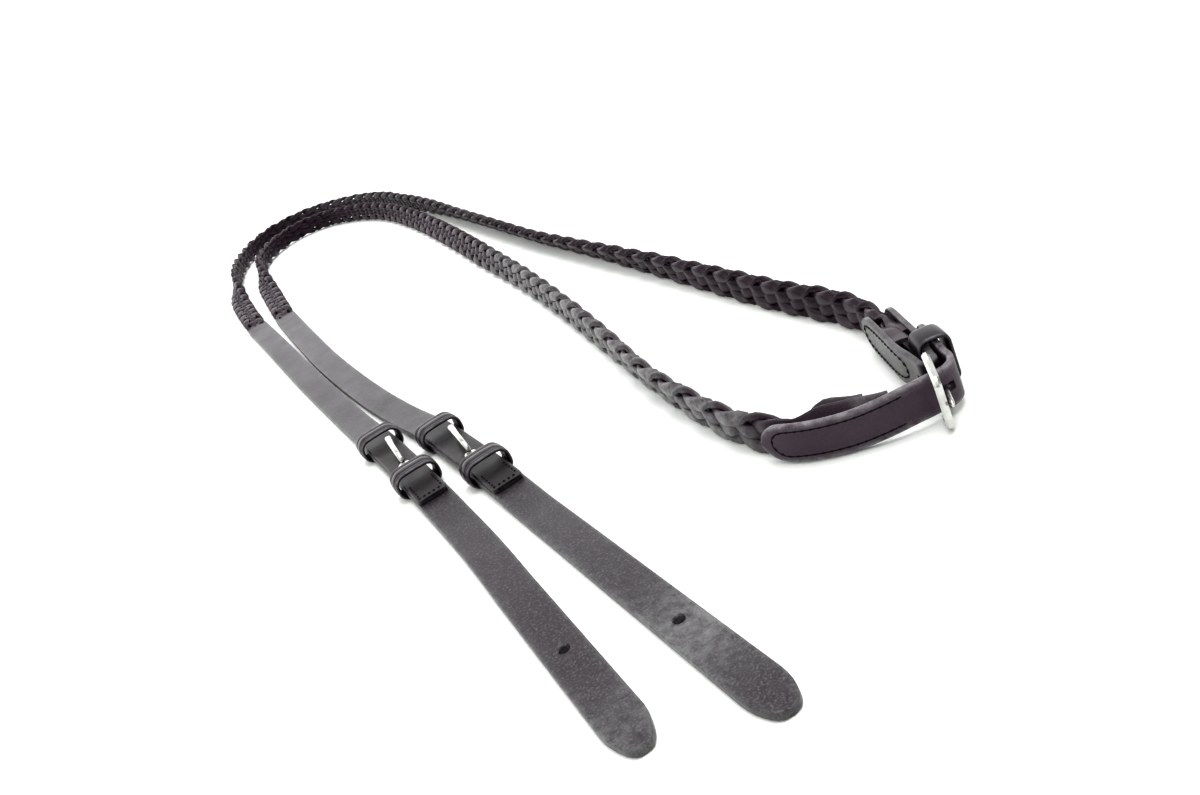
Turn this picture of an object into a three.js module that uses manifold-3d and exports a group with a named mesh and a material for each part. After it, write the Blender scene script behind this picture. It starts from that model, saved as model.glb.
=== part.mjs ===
// Plaited leather reins, laid down as a loop with both bit ends side by side.
// Millimetres, +Z up. The reins rest on z = 0, with the origin at the middle of their box.
// The left half carries the buckle and runs round the outside of the loop, and the right
// half is the one that threads through the buckle and runs inside it.
import * as THREE from 'three';
import { mergeVertices } from 'three/addons/utils/BufferGeometryUtils.js';
import Module from 'manifold-3d';

const wasm = await Module();
wasm.setup();

// ---------------------------------------------------------------- driving dimensions

const GAP = 0.3;                       // clearance between pieces that touch
const STRAP = { width: 12.7, thick: 2.5 };
const PLAIT = { width: 13, thick: 5.2, chamfer: 1.4, steps: 76 };
const STAY = { width: 11.8, thick: 1.5, toBit: 46, toPlait: 28 };
const KEEPER = {
  width: 9, wall: 1.2, floor: 1.0, room: 4.3, side: 0.35, upper: 23.5, lower: 25, corner: 2.2,
};
const STUD = { wire: 2.1, root: -11, tip: 13, under: 3 };
const HOLE = { radius: 1.9 };
const FOLD_GAP = 0.6;                  // the billet turns back here, about an axis above it
const THREAD = { thick: 0.5, inset: 1.9 };

// hand end: everything stands on its edge, and the heel bar of the buckle is upright
const HAND = { width: 12.5, thick: 2.0, middle: 8.5 };
const BUCKLE = { wire: 1.9, depth: 2.0, length: 17, height: 17, bevel: 0.45, corner: 2.6 };
const CHAPE = { thick: 1.9, reach: 46, spread: 3.9, foldRadius: 2.28 };
const TONGUE = { eyeInner: 1.45, eyeOuter: 2.6, height: 1.9, near: 1.3, far: 2.9, reach: 18.9 };
const TONGUE_SLOT = { height: 3.2, back: -4, front: 3.4 };
const STRAP_SLOT = { near: 4.6, far: 12.6, from: 0.8, to: 5.0, height: 2.7 };
const CENTRE_KEEPER = {
  from: 6, length: 8, inner: -0.6, outer: 9.2, wall: 1.3, low: 0.75, high: 16.25, corner: 1.6,
};

const HEEL = new THREE.Vector2(54.4, -327.7);            // heel bar, seen from above
const CHAPE_ANGLE = THREE.MathUtils.degToRad(68.9);      // from the heel bar to the plait
const FRAME_ANGLE = THREE.MathUtils.degToRad(-122.3);    // from the heel bar to the front bar

// the two halves: hook is the middle of the stud, fold is where the billet turns back
const HALVES = {
  left: {
    hook: -160.7, fold: -247, hole: -324.4, tip: -371.9, billetAngle: -3.2,
    lift: 1.9,
    strap: [
      [-66.6, 148.8], [-67.1, 77.3], [-67.9, -2.7], [-67.7, -82.7], [-67.1, -160.7],
      [-68.5, -247],
    ],
    plait: [
      [60.6, -311.7], [65.9, -297.8], [71.3, -283.8], [74.8, -269.7], [75.5, -254.7],
      [74.3, -232.7], [73.9, -207.7], [73.9, -172.7], [74.1, -122.7], [73.9, -62.7], [73.6, -2.7],
      [75.1, 67.3], [76.3, 127.3], [76.3, 187.3], [74, 247.3], [68.4, 302.3], [52.9, 346.3],
      [30.4, 377.8], [4.9, 387.3], [-20.1, 371.3], [-39.1, 337.3], [-52.1, 291.8], [-61.3, 237.3],
      [-65.1, 189.3], [-66.6, 149.3],
    ],
    bank: [
      [0, 90], [0.1, 91], [0.17, 80], [0.24, 61], [0.31, 50], [0.38, 52], [0.45, 56], [0.52, 76],
      [0.6, 90], [0.845, 90], [0.868, 76], [0.89, 45], [0.912, 14], [0.935, 0],
    ],
  },
  right: {
    hook: -184.7, fold: -268, hole: -342.3, tip: -389.9, billetAngle: 0,
    lift: 0,
    strap: [
      [-49.9, 136.8], [-52.7, 67.3], [-54.5, -2.7], [-53.3, -82.7], [-48.7, -152.7],
      [-47.5, -192.7], [-47.1, -268],
    ],
    plait: [
      [41.2, -328.7], [33.5, -324.5], [25.7, -318.5], [19.1, -310.3], [14.1, -300.1],
      [11.7, -285.7], [12.1, -264.7], [15.5, -227.7], [21.9, -187.7], [29, -142.7],
      [35.3, -97.7], [41.3, -47.7], [47, 12.3], [53.1, 72.3], [58.1, 132.3], [60.2, 192.3],
      [57.9, 252.3], [46.4, 303.3], [29.4, 335.3], [8.9, 344.3], [-12.6, 331.8], [-30.1, 299.3],
      [-39.6, 247.3], [-45.1, 192.3], [-49.7, 137.3],
    ],
    bank: [
      [0, 90], [0.05, 88], [0.12, 76], [0.19, 93], [0.26, 97], [0.33, 108], [0.4, 125],
      [0.47, 138], [0.54, 133], [0.62, 110], [0.7, 90], [0.83, 90], [0.855, 76], [0.88, 45],
      [0.905, 14], [0.93, 0],
    ],
  },
};

// the hand strap from its sewn end, through the buckle, round the heel bar to its cut end
const HAND_ROUTE = [
  [9.4, -300.9], [14.3, -311.7], [20.5, -319.3], [28.5, -325.5], [36.6, -330.5], [44, -333.6],
  [49, -334.9], [53.2, -335.8], [56.7, -334.7], [58.9, -332], [60.1, -328.6], [62, -324.2],
  [65.3, -316.9], [69.5, -307.2],
];
const HAND_RISE = { height: 6.7, from: 0.3, to: 0.54 };  // its height from the sewn end on

// ---------------------------------------------------------------- shapes and routes

const smooth = (a, b, x) => THREE.MathUtils.smoothstep(x, a, b);

function route(points) {
  const curve = new THREE.CatmullRomCurve3(points.map(([x, y]) => new THREE.Vector3(x, y, 0)),
    false, 'centripetal');
  curve.arcLengthDivisions = 600;
  return curve;
}

function plate(width, thick, chamfer = 0) {
  const [w, t, c] = [width / 2, thick / 2, chamfer];
  const corners = c === 0
    ? [[-w, -t], [w, -t], [w, t], [-w, t]]
    : [[-w + c, -t], [w - c, -t], [w, -t + c], [w, t - c], [w - c, t], [-w + c, t], [-w, t - c],
      [-w, -t + c]];
  return new THREE.Shape(corners.map(([x, y]) => new THREE.Vector2(x, y)));
}

function roundedBox(shape, left, bottom, right, top, r) {
  shape.moveTo(left + r, bottom);
  shape.lineTo(right - r, bottom);
  shape.absarc(right - r, bottom + r, r, -Math.PI / 2, 0);
  shape.lineTo(right, top - r);
  shape.absarc(right - r, top - r, r, 0, Math.PI / 2);
  shape.lineTo(left + r, top);
  shape.absarc(left + r, top - r, r, Math.PI / 2, Math.PI);
  shape.lineTo(left, bottom + r);
  shape.absarc(left + r, bottom + r, r, Math.PI, 1.5 * Math.PI);
  return shape;
}

// A band of the given section along a plan route. The section's x runs across the band: to the
// left of the route when bank is 0, and straight up when it is 90 degrees. middle(t) is the
// height of the centre line, and size(t) narrows the band across.
function band(section, plan, { steps, bank = () => 0, middle, size = () => 1, stations }) {
  const geometry = new THREE.ExtrudeGeometry(section, { depth: 1, steps, bevelEnabled: false });
  const position = geometry.attributes.position;
  for (let i = 0; i < position.count; i += 1) {
    const k = Math.round(position.getZ(i) * steps);
    const t = stations ? stations[k] : k / steps;
    const point = onBand(plan, t, bank(t), middle(t), position.getX(i) * size(t), position.getY(i));
    position.setXYZ(i, point.x, point.y, point.z);
  }
  return solidGeometry(geometry);
}

function onBand(plan, t, angle, height, across, out) {
  const centre = plan.getPointAt(THREE.MathUtils.clamp(t, 0, 1));
  const ahead = plan.getTangentAt(THREE.MathUtils.clamp(t, 0, 1));
  const side = new THREE.Vector3(-ahead.y, ahead.x, 0).normalize();
  const [c, s] = [Math.cos(angle), Math.sin(angle)];
  return new THREE.Vector3(centre.x, centre.y, height)
    .addScaledVector(side, across * c - out * s)
    .add(new THREE.Vector3(0, 0, across * s + out * c));
}

const evenStations = (steps, end) => Array.from({ length: steps + 1 }, (_, k) => end * k / steps);

// closer stations near both ends, for a band with rounded ends
const closeAtEnds = (steps) => Array.from({ length: steps + 1 },
  (_, k) => (1 - Math.cos(Math.PI * k / steps)) / 2);

// width factor of a rounded end, at a distance from it
function roundEnd(distance, radius, blunt = 0.3) {
  if (distance >= radius) return 1;
  const d = 1 - Math.max(distance, 0) / radius;
  return Math.max(blunt, Math.sqrt(1 - d * d));
}

function solidGeometry(geometry) {
  geometry.deleteAttribute('normal');
  geometry.deleteAttribute('uv');
  return mergeVertices(geometry, 1e-4);
}

function toManifold(geometry) {
  const clean = solidGeometry(geometry);
  return new wasm.Manifold(new wasm.Mesh({
    numProp: 3,
    vertProperties: new Float32Array(clean.attributes.position.array),
    triVerts: new Uint32Array(clean.index.array),
  }));
}

function subtract(geometry, tool) {
  const { vertProperties, triVerts } = toManifold(geometry).subtract(toManifold(tool)).getMesh();
  const result = new THREE.BufferGeometry();
  result.setAttribute('position', new THREE.BufferAttribute(vertProperties, 3));
  result.setIndex(new THREE.BufferAttribute(triVerts, 1));
  return result;
}

// ---------------------------------------------------------------- materials and nodes

const reins = new THREE.Group();
const FINISH = {
  leather: { color: 0x2b262b, roughness: 0.5, metalness: 0 },
  plaited: { color: 0x242026, roughness: 0.45, metalness: 0 },
  thread: { color: 0x141114, roughness: 0.8, metalness: 0 },
  steel: { color: 0xc9c9c6, roughness: 0.25, metalness: 1 },
};

function add(name, geometry, finish, parent = reins) {
  geometry.computeVertexNormals();
  const mesh = new THREE.Mesh(geometry, new THREE.MeshStandardMaterial(FINISH[finish]));
  mesh.name = name;
  parent.add(mesh);
  return mesh;
}

// ---------------------------------------------------------------- plaits

// The plait stands on its edge at the buckle and round the far bend, leans over in between, and
// turns flat before the bit strap: bank gives its angle, in degrees, at shares of its length.
// Its lowest corner rests on z = 0, apart from the first stretch of the left half, which the
// chape holds up by the half's lift.
const LIFTED = 0.06;                                     // share of the length that comes down

function plaitBank(half, t) {
  const next = half.bank.findIndex(([at]) => at >= t);
  if (next < 0) return 0;
  const [t0, from] = half.bank[Math.max(next - 1, 0)];
  const [t1, to] = half.bank[next];
  return THREE.MathUtils.degToRad(t1 > t0 ? THREE.MathUtils.mapLinear(t, t0, t1, from, to) : to);
}

function plaitMiddle(half, t) {
  const [w, h, c] = [PLAIT.width / 2, PLAIT.thick / 2, PLAIT.chamfer];
  const angle = plaitBank(half, t);
  const [sin, cos] = [Math.abs(Math.sin(angle)), Math.abs(Math.cos(angle))];
  const rest = Math.max((w - c) * sin + h * cos, w * sin + (h - c) * cos);
  return rest + half.lift * (1 - smooth(0, LIFTED, t));
}

function makePlait(side, half) {
  add(`${side}_plait`, band(plate(PLAIT.width, PLAIT.thick, PLAIT.chamfer), route(half.plait), {
    steps: PLAIT.steps,
    bank: (t) => plaitBank(half, t),
    middle: (t) => plaitMiddle(half, t),
  }), 'plaited');
}

// ---------------------------------------------------------------- bit ends

const strapAtKeepers = KEEPER.floor + GAP;               // height of the strap's lower face
const stayBottom = strapAtKeepers + STRAP.thick + GAP;
const stayTop = stayBottom + STAY.thick;

function strapMiddle(half, y) {
  const away = Math.abs(y - half.hook);
  return STRAP.thick / 2 + strapAtKeepers * (1 - smooth(34, 70, away));
}

function makeBitStrap(side, half) {
  const plan = route(half.strap);
  add(`${side}_bit_strap`, band(plate(STRAP.width, STRAP.thick), plan, {
    steps: 44,
    middle: (t) => strapMiddle(half, plan.getPointAt(t).y),
    stations: evenStations(44, 1 - FOLD_GAP / plan.getLength()),
  }), 'leather');
}

// the billet lies along -Y in its own frame, from the fold to a blunt rounded point
function billetOutline(length) {
  const w = STRAP.width / 2;
  const shoulder = length - 10.5;
  const shape = new THREE.Shape();
  shape.moveTo(-w, 0);
  shape.lineTo(-w, -shoulder);
  shape.quadraticCurveTo(-w, -length + 4.4, -w + 3.4, -length + 1.5);
  shape.quadraticCurveTo(-1.6, -length, 0, -length);
  shape.quadraticCurveTo(1.6, -length, w - 3.4, -length + 1.5);
  shape.quadraticCurveTo(w, -length + 4.4, w, -shoulder);
  shape.lineTo(w, 0);
  return shape;
}

function makeBillet(side, half) {
  const place = new THREE.Group();
  place.position.set(half.strap.at(-1)[0], half.fold, 0);
  place.rotation.z = THREE.MathUtils.degToRad(half.billetAngle);
  reins.add(place);
  const shape = billetOutline(half.fold - half.tip);
  const hole = new THREE.Path();
  hole.absarc(0, half.hole - half.fold, HOLE.radius, 0, 2 * Math.PI, true);
  shape.holes.push(hole);
  add(`${side}_billet`, new THREE.ExtrudeGeometry(shape, {
    depth: STRAP.thick, bevelEnabled: false, curveSegments: 6,
  }), 'leather', place);
}

// plan position on the strap, at a distance from the hook towards the plait
function stayRoute(half) {
  const plan = route(half.strap);
  const points = [];
  for (let y = half.hook - STAY.toBit; y <= half.hook + STAY.toPlait + 0.01; y += 37) {
    points.push([strapX(plan, y), y]);
  }
  return route(points);
}

function strapX(plan, y) {
  let [low, high] = [0, 1];
  for (let i = 0; i < 40; i += 1) {
    const middle = (low + high) / 2;
    if (plan.getPointAt(middle).y > y) low = middle;
    else high = middle;
  }
  return plan.getPointAt(low).x;
}

function makeStay(side, half) {
  const plan = stayRoute(half);
  const length = plan.getLength();
  const middle = (y, top) => strapMiddle(half, y) + STRAP.thick / 2 + GAP + top;
  add(`${side}_stay`, band(plate(STAY.width, STAY.thick), plan, {
    steps: 20,
    middle: (t) => middle(plan.getPointAt(t).y, STAY.thick / 2),
    size: (t) => roundEnd(t * length, 2.5, 0.82),
  }), 'leather');
  makeStayThread(side, plan, (y) => middle(y, STAY.thick + GAP + THREAD.thick / 2));
}

// one thread down a side of the stay, across its bit end and back up the other side
function makeStayThread(side, plan, height) {
  const length = plan.getLength();
  const reach = STAY.width / 2 - THREAD.inset * 0.7;
  const path = [];
  const station = (distance, across) => {
    const point = onBand(plan, distance / length, 0, 0, across, 0);
    path.push(new THREE.Vector3(point.x, point.y, height(point.y)));
  };
  const last = STAY.toBit - KEEPER.lower - KEEPER.width / 2 - 1.5;
  for (let s = last; s > THREAD.inset; s -= 3) station(s, reach);
  for (let a = reach; a >= -reach; a -= reach / 3) station(THREAD.inset, a);
  for (let s = THREAD.inset + 3; s <= last; s += 3) station(s, -reach);
  add(`${side}_stay_thread`, threadAlong(path), 'thread');
}

function threadAlong(points) {
  const curve = new THREE.CatmullRomCurve3(points, false, 'centripetal');
  return solidGeometry(new THREE.ExtrudeGeometry(plate(THREAD.thick, THREAD.thick), {
    steps: points.length * 2, extrudePath: curve, bevelEnabled: false,
  }));
}

// a fixed keeper, a flat leather ring round the strap and the stay
function makeKeeper(name, half, y) {
  const w = STRAP.width / 2 + KEEPER.side;
  const roof = stayTop + KEEPER.room;
  const ring = roundedBox(new THREE.Shape(), -w - KEEPER.wall, 0, w + KEEPER.wall,
    roof + KEEPER.wall, KEEPER.corner);
  ring.holes.push(roundedBox(new THREE.Path(), -w, KEEPER.floor, w, roof, 0.9));
  const geometry = new THREE.ExtrudeGeometry(ring, {
    depth: KEEPER.width, bevelEnabled: false, curveSegments: 4,
  });
  geometry.rotateX(Math.PI / 2);
  const plan = route(half.strap);
  const slope = Math.atan2(strapX(plan, y + 10) - strapX(plan, y - 10), 20);
  geometry.translate(0, KEEPER.width / 2, 0);
  geometry.rotateZ(-slope);
  geometry.translate(strapX(plan, y), y, 0);
  add(name, geometry, 'leather');
}

// the hook stud: a foot on the stay, a short stem and a bar that points away from the bit
function makeHookStud(side, half) {
  const x = strapX(route(half.strap), half.hook);
  const base = stayTop + GAP;
  const top = stayTop + STUD.under + STUD.wire / 2;
  const { root, tip } = STUD;
  const points = [
    [root, base], [root, base + 1.6], [root + 1.2, top - 0.9], [root + 4, top],
    [root + 12, top + 0.3], [root + 20, top + 0.2], [tip, top - 0.3],
  ];
  const curve = new THREE.CatmullRomCurve3(
    points.map(([d, z]) => new THREE.Vector3(x, half.hook + d, z)), false, 'centripetal');
  const round = new THREE.Shape();
  round.absarc(0, 0, STUD.wire / 2, 0, 2 * Math.PI);
  add(`${side}_hook_stud`, new THREE.ExtrudeGeometry(round, {
    steps: 26, extrudePath: curve, bevelEnabled: false, curveSegments: 4,
  }), 'steel');
}

// ---------------------------------------------------------------- hand end

// a frame at the heel bar, with +X along the given direction
function atHeel(angle) {
  const place = new THREE.Group();
  place.position.set(HEEL.x, HEEL.y, 0);
  place.rotation.z = angle;
  reins.add(place);
  return place;
}

const alongChape = atHeel(CHAPE_ANGLE);                  // +Y is the inside of the loop
const alongFrame = atHeel(FRAME_ANGLE);                  // +Y is the outside of the loop

function makeChape() {
  const { reach, spread, foldRadius: r } = CHAPE;
  const leg = [[reach, spread], [34, spread], [24, spread], [17, spread], [12, 3.55], [8, 2.95],
    [4, 2.45], [1.5, r]];
  const turn = [60, 30, 0, -30, -60].map((a) => {
    const angle = THREE.MathUtils.degToRad(180 - a);
    return [r * Math.cos(angle), r * Math.sin(angle)];
  });
  const plan = route([...leg, ...turn, ...leg.map(([x, y]) => [x, -y]).reverse()]);
  const length = plan.getLength();
  const legs = band(plate(HAND.width, CHAPE.thick), plan, {
    steps: 64,
    bank: () => Math.PI / 2,
    middle: () => HAND.middle,
    size: (t) => roundEnd(Math.min(t, 1 - t) * length, 9, 0.25),
    stations: chapeStations(64),
  });
  const slot = new THREE.BoxGeometry(TONGUE_SLOT.front - TONGUE_SLOT.back, 12, TONGUE_SLOT.height);
  slot.translate((TONGUE_SLOT.front + TONGUE_SLOT.back) / 2, 0, HAND.middle);
  add('chape', subtract(legs, slot), 'leather', alongChape);
  makeChapeThread();
}

// stations close together at the two rounded ends and round the fold
function chapeStations(steps) {
  return Array.from({ length: steps + 1 }, (_, k) => {
    const u = k / steps;
    return u - 0.55 * Math.sin(4 * Math.PI * u) / (4 * Math.PI);
  });
}

// an oval of thread on the inner leg of the chape
function makeChapeThread() {
  const face = CHAPE.spread + CHAPE.thick / 2 + GAP + THREAD.thick / 2;
  const [from, to] = [16.5, CHAPE.reach - 3];
  const rise = HAND.width / 2 - THREAD.inset;
  const points = [];
  for (let k = 0; k <= 24; k += 1) {
    const angle = 0.06 + (2 * Math.PI - 0.12) * k / 24;
    const [c, s] = [Math.cos(angle), Math.sin(angle)];
    const round = (v) => Math.sign(v) * Math.abs(v) ** 0.75;
    points.push(new THREE.Vector3((from + to) / 2 + (to - from) / 2 * round(c), face,
      HAND.middle + rise * round(s)));
  }
  add('chape_thread', threadAlong(points), 'thread', alongChape);
}

function makeCentreKeeper() {
  const k = CENTRE_KEEPER;
  const ring = roundedBox(new THREE.Shape(), k.inner, k.low, k.outer, k.high, k.corner);
  ring.holes.push(roundedBox(new THREE.Path(), k.inner + k.wall, k.low + k.wall,
    k.outer - k.wall, k.high - k.wall, 0.8));
  const geometry = new THREE.ExtrudeGeometry(ring, {
    depth: k.length, bevelEnabled: false, curveSegments: 4,
  });
  geometry.rotateX(Math.PI / 2);
  geometry.rotateZ(-Math.PI / 2);
  geometry.translate(k.from + k.length, 0, 0);
  add('centre_keeper', geometry, 'leather', alongChape);
}

function makeBuckleFrame() {
  const { wire, bevel, length, height, corner, depth } = BUCKLE;
  const inset = wire / 2 - bevel;
  const outer = roundedBox(new THREE.Shape(), -inset, bevel, length + inset, height - bevel,
    corner);
  outer.holes.push(roundedBox(new THREE.Path(), inset, wire - bevel, length - inset,
    height - wire + bevel, corner - 1.2));
  const geometry = new THREE.ExtrudeGeometry(outer, {
    depth: depth - 2 * bevel, bevelThickness: bevel, bevelSize: bevel, bevelSegments: 1,
    curveSegments: 4,
  });
  geometry.translate(0, 0, -(depth - 2 * bevel) / 2);
  geometry.rotateX(Math.PI / 2);
  add('buckle_frame', geometry, 'steel', alongFrame);
}

function makeTongue() {
  const { eyeInner, eyeOuter, height, near, far, reach } = TONGUE;
  const start = Math.acos(near / eyeOuter);
  const shape = new THREE.Shape();
  const join = eyeOuter * Math.sin(start);
  shape.moveTo(join, near);
  shape.lineTo(reach - 0.8, near);
  shape.quadraticCurveTo(reach, near + 0.2, reach, near + 0.8);
  shape.quadraticCurveTo(reach - 0.2, far, reach - 1.6, far);
  shape.lineTo(1.2, far);
  shape.quadraticCurveTo(0.4, far - 0.05, 0, eyeOuter);
  shape.absarc(0, 0, eyeOuter, Math.PI / 2, 2 * Math.PI + Math.PI / 2 - start);
  const eye = new THREE.Path();
  eye.absarc(0, 0, eyeInner, 0, 2 * Math.PI, true);
  shape.holes.push(eye);
  const geometry = new THREE.ExtrudeGeometry(shape, {
    depth: height, bevelEnabled: false, curveSegments: 5,
  });
  geometry.translate(0, 0, HAND.middle - height / 2);
  add('buckle_tongue', geometry, 'steel', alongFrame);
}

function makeHandStrap() {
  const plan = route(HAND_ROUTE);
  const length = plan.getLength();
  const middle = (t) => HAND_RISE.height
    + (HAND.middle - HAND_RISE.height) * smooth(HAND_RISE.from, HAND_RISE.to, t);
  const strap = band(plate(HAND.width, HAND.thick), plan, {
    steps: 60,
    bank: () => Math.PI / 2,
    middle,
    size: (t) => Math.min(roundEnd(t * length, 8, 0.25), roundEnd((1 - t) * length, 5, 0.4)),
    stations: closeAtEnds(60),
  });
  const { near, far, from, to, height } = STRAP_SLOT;
  const slot = new THREE.BoxGeometry(far - near, to - from, height);
  slot.translate((far + near) / 2, (from + to) / 2, HAND.middle);
  slot.rotateZ(FRAME_ANGLE);
  slot.translate(HEEL.x, HEEL.y, 0);
  add('hand_strap', subtract(strap, slot), 'leather');
  makeHandThread(plan, length, middle);
}

// a U of thread on the outer face of the hand strap, open towards the buckle
function makeHandThread(plan, length, middle) {
  const out = HAND.thick / 2 + GAP + THREAD.thick / 2;
  const rise = HAND.width / 2 - THREAD.inset;
  const [near, far] = [3, 34];
  const points = [];
  const stitch = (distance, up) => {
    const t = distance / length;
    points.push(onBand(plan, t, Math.PI / 2, middle(t), up, out));
  };
  for (let d = far; d > near + 6; d -= 3) stitch(d, rise);
  for (let a = 90; a >= -90; a -= 22.5) {
    const angle = THREE.MathUtils.degToRad(a);
    stitch(near + 5 - 5 * Math.cos(angle), rise * Math.sin(angle));
  }
  for (let d = near + 7; d <= far; d += 3) stitch(d, -rise);
  add('hand_strap_thread', threadAlong(points), 'thread');
}

// ---------------------------------------------------------------- assembly

for (const [side, half] of Object.entries(HALVES)) {
  makePlait(side, half);
  makeBitStrap(side, half);
  makeBillet(side, half);
  makeStay(side, half);
  makeKeeper(`${side}_upper_keeper`, half, half.hook + KEEPER.upper);
  makeKeeper(`${side}_lower_keeper`, half, half.hook - KEEPER.lower);
  makeHookStud(side, half);
}
makeChape();
makeCentreKeeper();
makeBuckleFrame();
makeTongue();
makeHandStrap();

export default reins;
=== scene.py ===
"""Plaited leather reins: the looks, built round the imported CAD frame."""
import math

import bmesh
import bpy
import numpy as np
from mathutils import Matrix, Vector


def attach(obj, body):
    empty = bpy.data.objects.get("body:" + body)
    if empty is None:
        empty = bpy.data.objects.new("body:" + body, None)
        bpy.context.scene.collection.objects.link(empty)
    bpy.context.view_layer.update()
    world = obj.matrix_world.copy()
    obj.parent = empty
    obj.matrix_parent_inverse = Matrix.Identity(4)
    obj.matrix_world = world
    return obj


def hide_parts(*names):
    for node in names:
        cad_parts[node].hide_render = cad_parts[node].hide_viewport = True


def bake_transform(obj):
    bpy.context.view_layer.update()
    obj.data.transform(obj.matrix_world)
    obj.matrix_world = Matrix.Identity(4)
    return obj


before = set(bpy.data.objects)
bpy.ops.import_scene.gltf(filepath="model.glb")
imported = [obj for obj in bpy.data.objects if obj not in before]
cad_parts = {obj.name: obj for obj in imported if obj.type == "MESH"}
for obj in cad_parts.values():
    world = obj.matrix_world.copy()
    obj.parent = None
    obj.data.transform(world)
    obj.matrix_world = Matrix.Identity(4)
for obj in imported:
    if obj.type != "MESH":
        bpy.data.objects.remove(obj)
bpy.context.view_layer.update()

MM = 0.001
UP = np.array([0.0, 0.0, 1.0])

# ------------------------------------------------------------------ camera

CAMERA_AT = (-0.1131, -0.5697, 0.170785)
CAMERA_HEADING, CAMERA_PITCH, CAMERA_ROLL = -17.55, 23.9073, -25.1856
SENSOR_WIDTH, LENS = 36, 34.518


def make_camera():
    """A camera that looks down a little and is rolled to one side."""
    heading, pitch, roll = (math.radians(a) for a in (CAMERA_HEADING, CAMERA_PITCH, CAMERA_ROLL))
    right = Vector((math.cos(heading), math.sin(heading), 0))
    level = Vector((-math.sin(heading), math.cos(heading), 0))
    ahead = level * math.cos(pitch) - Vector((0, 0, math.sin(pitch)))
    up = level * math.sin(pitch) + Vector((0, 0, math.cos(pitch)))
    x = right * math.cos(roll) + up * math.sin(roll)
    y = -right * math.sin(roll) + up * math.cos(roll)
    data = bpy.data.cameras.new("camera")
    data.sensor_fit, data.sensor_width, data.lens = "HORIZONTAL", SENSOR_WIDTH, LENS
    data.clip_start, data.clip_end = 0.01, 50
    camera = bpy.data.objects.new("camera", data)
    bpy.context.scene.collection.objects.link(camera)
    camera.matrix_world = Matrix((
        (x.x, y.x, -ahead.x, CAMERA_AT[0]),
        (x.y, y.y, -ahead.y, CAMERA_AT[1]),
        (x.z, y.z, -ahead.z, CAMERA_AT[2]),
        (0, 0, 0, 1),
    ))
    bpy.context.scene.camera = camera


make_camera()

# ------------------------------------------------------------------ the CAD's plan, in millimetres

STRAP_WIDTH, STRAP_THICK = 12.7, 2.5
PLAIT_WIDTH, PLAIT_THICK, PLAIT_CHAMFER = 13, 5.2, 1.4
LIFTED = 0.06                # the share of the left plait that the chape holds up
GAP = 0.3
STAY_WIDTH, STAY_THICK, STAY_TO_BIT, STAY_TO_PLAIT = 11.8, 1.5, 46, 28
KEEPER_WIDTH, KEEPER_WALL, KEEPER_FLOOR = 9, 1.2, 1.0
KEEPER_SIDE, KEEPER_UPPER, KEEPER_LOWER = 0.35, 23.5, 25
STRAP_AT_KEEPERS = KEEPER_FLOOR + GAP
KEEPER_TOP = 9.8             # the fine keepers lie lower than the room they may take
STAY_BOTTOM = STRAP_AT_KEEPERS + STRAP_THICK + GAP
STAY_TOP = STAY_BOTTOM + STAY_THICK
HAND_WIDTH, HAND_THICK, HAND_MIDDLE = 12.5, 2.0, 8.5
HEEL = np.array([54.4, -327.7])
CHAPE_ANGLE, FRAME_ANGLE = math.radians(68.9), math.radians(-122.3)

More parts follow.
